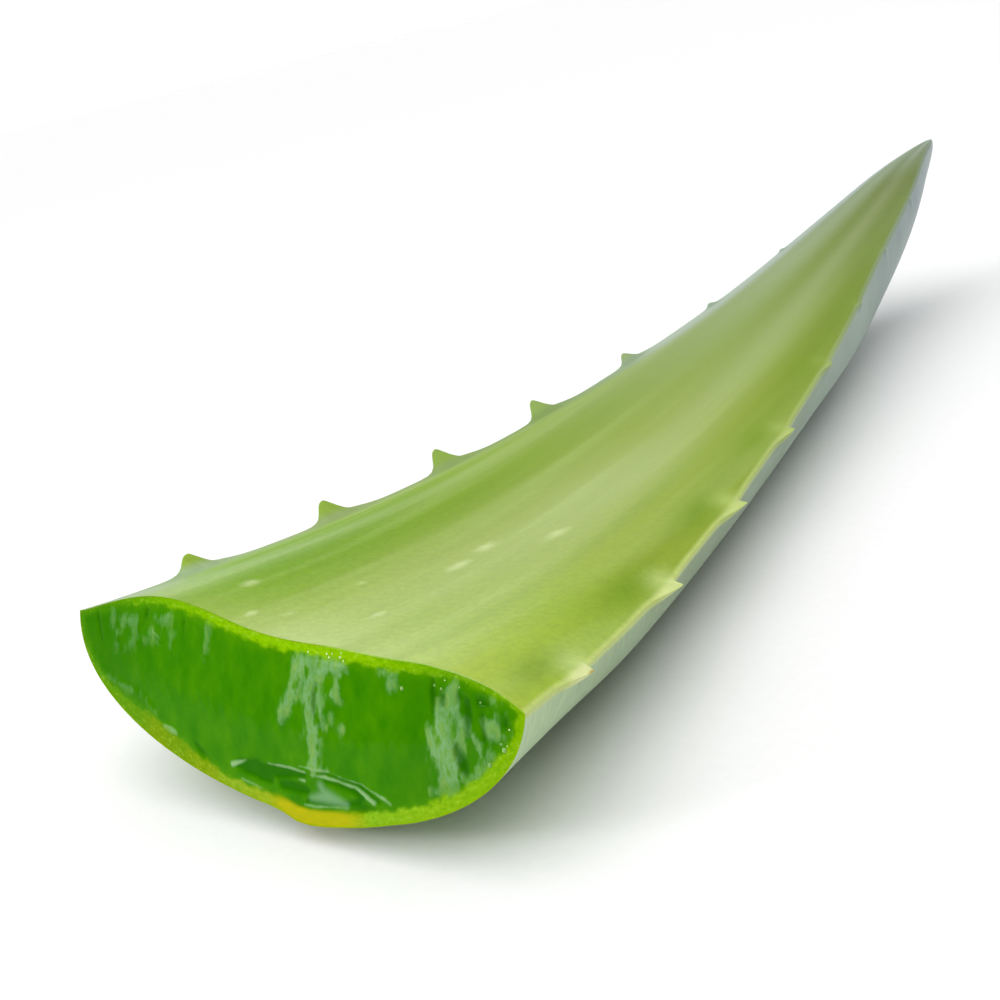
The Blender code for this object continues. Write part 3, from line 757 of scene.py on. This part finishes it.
film_clouds = add(wet_cut, "MapRange", {0: cloud, 1: 0.35, 2: 0.6, 3: 0.7, 4: 1.0}, **SMOOTH)[0]
film_highlight_share = add(wet_cut, "Math", {0: film_highlight_share, 1: film_thins}, operation="MULTIPLY")[0]
film_highlight_share = add(wet_cut, "Math", {0: film_highlight_share, 1: film_clouds}, operation="MULTIPLY")[0]
cut_colour = add(wet_cut, "Mix", {0: film_highlight_share, 6: cut_colour, 7: film_highlight_tint}, **MIX)[2]
# Cracks in the gel, sunk in the relief, are painted dark: painted shade
crack_shade_mm = add(wet_cut, "Math", {0: torn_mm, 1: 0.25, 2: crack_out}, operation="MULTIPLY_ADD")[0]
cut_colour = tint(wet_cut, cut_colour, "#1c6000", crack_shade_mm, -0.4, 0.3, 0.8)

# The pool's folds in painted light: painted highlights where they face the light, painted shade where they
# face away, and a painted reflection in the pool
fold_noise = add(wet_cut, "TexNoise", {"Vector": cut_at, "Scale": 0.9, "Detail": 2.0})[0]
fold_mm = add(wet_cut, "MapRange", {0: fold_noise, 1: 0.3, 2: 0.7, 3: -0.05, 4: 0.05}, **SMOOTH)[0]
shade_mm = add(wet_cut, "Math", {0: fold_mm, 1: shade_out}, operation="ADD")[0]
gleam_mm = add(wet_cut, "Math", {0: fold_mm, 1: gleam_out}, operation="ADD")[0]
cut_colour = tint(wet_cut, cut_colour, "#206a00", shade_mm, -0.35, 0.25, 0.8)
cut_colour = tint(wet_cut, cut_colour, "#84b080", sheen_out, -0.5, 0.5, 0.7)
cut_colour = tint(wet_cut, cut_colour, "#98c284", gleam_mm, -0.2, 0.15, 0.85)

# The rind's colour changes from left to right, over the top and under the leaf. Its inner edge frays
# into the gel, and fine grit in it is lighter and darker.
fibres = add(wet_cut, "TexNoise", {"Vector": cut_at, "Scale": 0.8, "Detail": 3.0, "Roughness": 0.5})[0]
frayed = add(wet_cut, "MapRange", {0: fibres, 1: 0.25, 2: 0.75, 3: -0.25, 4: 0.25}, **SMOOTH)[0]
beyond_rind = add(wet_cut, "Math", {0: beyond_rind, 1: frayed}, operation="ADD")[0]
rind_above = add(wet_cut, "ValToRGB", {0: rim_out}, stops=(
    (0.0, "#488600"), (0.08, "#4e8c00"), (0.14, "#5e9c00"), (0.23, "#72ae00"), (0.37, "#84bc00"),
    (0.53, "#8ac200"), (0.67, "#88be00"), (0.77, "#7ab200"), (0.85, "#6ca608"), (0.92, "#629e00"),
    (0.97, "#74aa08"), (1.0, "#78ac00")))[0]
rind_below = add(wet_cut, "ValToRGB", {0: rim_out}, stops=(
    (0.0, "#488600"), (0.07, "#5c9800"), (0.17, "#629600"), (0.22, "#7c9c00"), (0.28, "#6e9800"),
    (0.35, "#84a000"), (0.42, "#8aae20"), (0.5, "#98b018"), (0.65, "#a0b418"), (0.72, "#86b818"),
    (0.85, "#88b80c"), (1.0, "#7cb000")))[0]
rind_colour = add(wet_cut, "Mix", {0: over_out, 6: rind_below, 7: rind_above}, **MIX)[2]
grit = add(wet_cut, "TexNoise", {"Vector": cut_at, "Scale": 2.0, "Detail": 3.0, "Roughness": 0.6})[0]
rind_colour = tint(wet_cut, rind_colour, "#a8d43c", grit, 0.5, 0.75, 0.45)
rind_colour = tint(wet_cut, rind_colour, "#4c9400", grit, 0.48, 0.3, 0.45)
cut_colour = tint(wet_cut, cut_colour, "#569800", beyond_rind, 1.1, -0.1, 0.45)
cut_colour = tint(wet_cut, cut_colour, rind_colour, beyond_rind, 0.3, -0.35)
latex_tint = tint(wet_cut, "#b4b40c", "#beb80a", fibres, 0.35, 0.65)
cut_colour = tint(wet_cut, cut_colour, latex_tint, latex_out, 0.0, 0.65, 0.95)
# A thin line round the rim, olive under the leaf and over the top on the left. Over the top on the right it
# is pale: a painted highlight where the wet rim catches the light.
rim_line_and_highlight = add(wet_cut, "ValToRGB", {0: rim_out}, stops=(
    (0.1, "#6f9c08"), (0.6, "#8aa410"), (0.68, "#cfe088"), (0.9, "#cfe088"), (0.98, "#b0c850")))[0]
outer_line = add(wet_cut, "Mix", {0: over_out, 6: "#88a80c", 7: rim_line_and_highlight}, **MIX)[2]
cut_colour = tint(wet_cut, cut_colour, outer_line, cut_rim, 0.22, 0.05, 0.6)
feed(wet_cut, shader, {"Base Color": cut_colour, "Roughness": 0.5, "Specular IOR Level": 0.0,
                       "Coat Weight": 0.12, "Coat Roughness": 0.05, "Coat IOR": 1.34})

mesh.materials.append(waxy_skin)
mesh.materials.append(wet_cut)
mesh.polygons.foreach_set("material_index", [int(i >= skin_faces) for i in range(len(faces))])
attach(blade, "root")
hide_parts("leaf")


# Drops of sap and froth: beads of clear gel stand on the cut near the rind, and tiny bubbles froth
# along the rind's inner edge. They cling to the cut.
DROPS = (  # x, z and radius in mm
    (27.8, -4.5, 0.26), (27.5, -4.0, 0.16), (26.3, -6.0, 0.24), (16.5, -0.9, 0.22), (20.2, -0.1, 0.14),
    (21.0, -0.3, 0.16), (25.2, -0.9, 0.14), (23.0, 0.1, 0.12),
)
FROTH = (
    (4.9, 0.9, 0.12), (7.3, 1.0, 0.12), (7.6, 0.7, 0.14), (8.0, 1.1, 0.10), (9.0, 0.9, 0.15),
    (9.4, 0.6, 0.13), (9.1, 1.3, 0.09), (21.4, 0.5, 0.09), (6.1, 1.0, 0.08), (28.3, -2.7, 0.10),
    (28.1, -4.1, 0.09),
)
DROP_STEEPNESS = math.radians(75)  # the slope at a dome's foot
FROTH_STEEPNESS = math.radians(85)
FOOT_SUNK = 0.05  # mm
DOME_RINGS = 6
DOME_SIDES = 20
DOME_CREASE = math.radians(40)


def domes(name, beads, steepness, material):
    """Beads of liquid on the cut face, each a low dome with its foot sunk in."""
    body = bmesh.new()
    for bead_x, bead_z, radius in beads:
        foot_y = FOOT_SUNK - bulge[np.argmin(np.hypot(x - bead_x, z - bead_z))]
        levels = []
        for step in range(DOME_RINGS + 1):
            angle = steepness * (1 - step / DOME_RINGS)
            wide = radius * math.sin(angle) / math.sin(steepness)
            high = radius * (math.cos(angle) - math.cos(steepness)) / math.sin(steepness)
            turns = np.arange(DOME_SIDES if step < DOME_RINGS else 1) * math.tau / DOME_SIDES
            level = [(bead_x + wide * math.cos(a), foot_y - high, bead_z + wide * math.sin(a)) for a in turns]
            levels.append([body.verts.new(p) for p in laid(np.array(level) / 1000)])
        body.faces.new(levels[0][::-1])
        for lower, higher in zip(levels, levels[1:]):
            for here in range(DOME_SIDES):
                after = (here + 1) % DOME_SIDES
                above = (higher[after], higher[here]) if len(higher) > 1 else higher
                body.faces.new((lower[here], lower[after], *above))
    bmesh.ops.recalc_face_normals(body, faces=body.faces)
    bead_mesh = bpy.data.meshes.new(name)
    body.to_mesh(bead_mesh)
    body.free()
    bead_mesh.shade_smooth()
    bead_mesh.set_sharp_from_angle(angle=DOME_CREASE)
    bead_mesh.materials.append(material)
    bead_object = placed(name, bead_mesh)
    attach(bead_object, "root")
    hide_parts("leaf")


# Clear sap: watery gel with a smooth wet surface, so each drop glints and shows the green behind it
clear_sap, shader = surface("clear_sap")
sap_noise = add(clear_sap, "TexCoord")["Object"]
sap_noise = add(clear_sap, "TexNoise", {"Vector": sap_noise, "Scale": 900.0})[0]
sap_tint = add(clear_sap, "ValToRGB", {0: sap_noise}, stops=((0.3, "#7fb84e"), (0.7, "#a8d480")))[0]
feed(clear_sap, shader, {
    "Base Color": sap_tint, "Roughness": 0.02, "IOR": 1.34, "Transmission Weight": 0.25})
domes("sap_drops", DROPS, DROP_STEEPNESS, clear_sap)

# Froth: sap beaten into bubbles by the knife, whose many walls scatter the light and look pale
sap_froth, shader = surface("pale_sap_froth")
froth_noise = add(sap_froth, "TexCoord")["Object"]
froth_noise = add(sap_froth, "TexNoise", {"Vector": froth_noise, "Scale": 3000.0})[0]
froth_tint = add(sap_froth, "ValToRGB", {0: froth_noise}, stops=((0.3, "#b4d868"), (0.7, "#dcf0b8")))[0]
feed(sap_froth, shader, {"Base Color": froth_tint, "Roughness": 0.12})
domes("sap_froth", FROTH, FROTH_STEEPNESS, sap_froth)


# The studio: a plain pale floor under a soft dome. The dome is bright overhead and along the horizon
# behind the leaf, which gives the skin its pale sheen, and a window in front glints on the wet cut.
FLOOR_HALF = 60
PAPER_SCALE = 900.0  # per metre, which is a grain of about 1 mm, coarse enough to show
floor_mesh = bpy.data.meshes.new("floor")
corners = [(FLOOR_HALF * right, FLOOR_HALF * back, 0) for right, back in ((-1, -1), (1, -1), (1, 1), (-1, 1))]
floor_mesh.from_pydata(corners, [], [(0, 1, 2, 3)])
floor = placed("floor", floor_mesh)
pale_floor, shader = surface("matt_white_paper")
paper = add(pale_floor, "TexCoord")["Object"]
paper = add(pale_floor, "TexNoise", {"Vector": paper, "Scale": PAPER_SCALE, "Detail": 2.0})[0]
tone = add(pale_floor, "ValToRGB", {0: paper}, stops=((0.3, "#f4f4f4"), (0.7, "#f6f6f6")))[0]
feed(pale_floor, shader, {"Base Color": tone, "Roughness": 0.9, "Specular IOR Level": 0.1})
floor_mesh.materials.append(pale_floor)

DOME_BRIGHTNESS = 1.7
BACKWARD_TURN = -0.7  # behind the leaf, seen from the camera, is +Y turned this far to the left
world = bpy.data.worlds.new("studio_dome")
world.use_nodes = True
bpy.context.scene.world = world
direction = add(world, "SeparateXYZ", {0: add(world, "TexCoord")["Generated"]})
sideways = add(world, "Math", {0: direction[0], 1: BACKWARD_TURN}, operation="MULTIPLY")[0]
backward = add(world, "Math", {0: direction[1], 1: sideways}, operation="ADD")[0]
behind = add(world, "ValToRGB", {0: direction[2]}, stops=(
    (0.0, "#dcdcdc"), (0.14, "#dcdcdc"), (0.24, "#484848"), (0.5, "#484848"), (0.75, "#ffffff")))[0]
before = add(world, "ValToRGB", {0: direction[2]}, stops=(
    (0.0, "#3c3c3c"), (0.3, "#404040"), (0.5, "#606060"), (0.75, "#ffffff")))[0]
dome = tint(world, before, behind, backward, -0.4, 0.5)
dome = add(world, "VectorMath", {0: dome, "Scale": DOME_BRIGHTNESS}, operation="SCALE")[0]
is_camera = add(world, "LightPath")["Is Camera Ray"]
seen = add(world, "Mix", {0: is_camera, 6: dome, 7: "#ffffff"}, **MIX)[2]
feed(world, world.node_tree.nodes["Background"], {"Color": seen})

WINDOW_BRIGHTNESS = 14.0  # as seen in a mirror
WINDOW_AT = (-0.35, -0.505, 0.27)
WINDOW_FACES = (0, -0.095, 0.012)  # the middle of the cut
window = bpy.data.lights.new("front_window", "AREA")
window.shape = "RECTANGLE"
window.size = 0.20
window.size_y = 0.12
window.energy = WINDOW_BRIGHTNESS * math.pi * window.size * window.size_y
window_object = placed("front_window", window)
window_object.location = WINDOW_AT
aim = Vector(WINDOW_FACES) - Vector(WINDOW_AT)
window_object.rotation_euler = aim.to_track_quat("-Z", "Y").to_euler()


# The camera stands low and to the right of the cut, tilted to the left, with a 50 mm lens.
CAMERA_AT = (0.09925, -0.16960, 0.06770)
CAMERA_TURN = (70.711, 13.084, 36.776)  # degrees
camera_data = bpy.data.cameras.new("camera")
camera_data.lens = 50.4
camera_data.sensor_width = 36
camera_data.clip_start = 0.005
camera = placed("camera", camera_data)
camera.location = CAMERA_AT
camera.rotation_euler = [math.radians(angle) for angle in CAMERA_TURN]
bpy.context.scene.camera = camera
bpy.context.scene.view_settings.view_transform = "Standard"
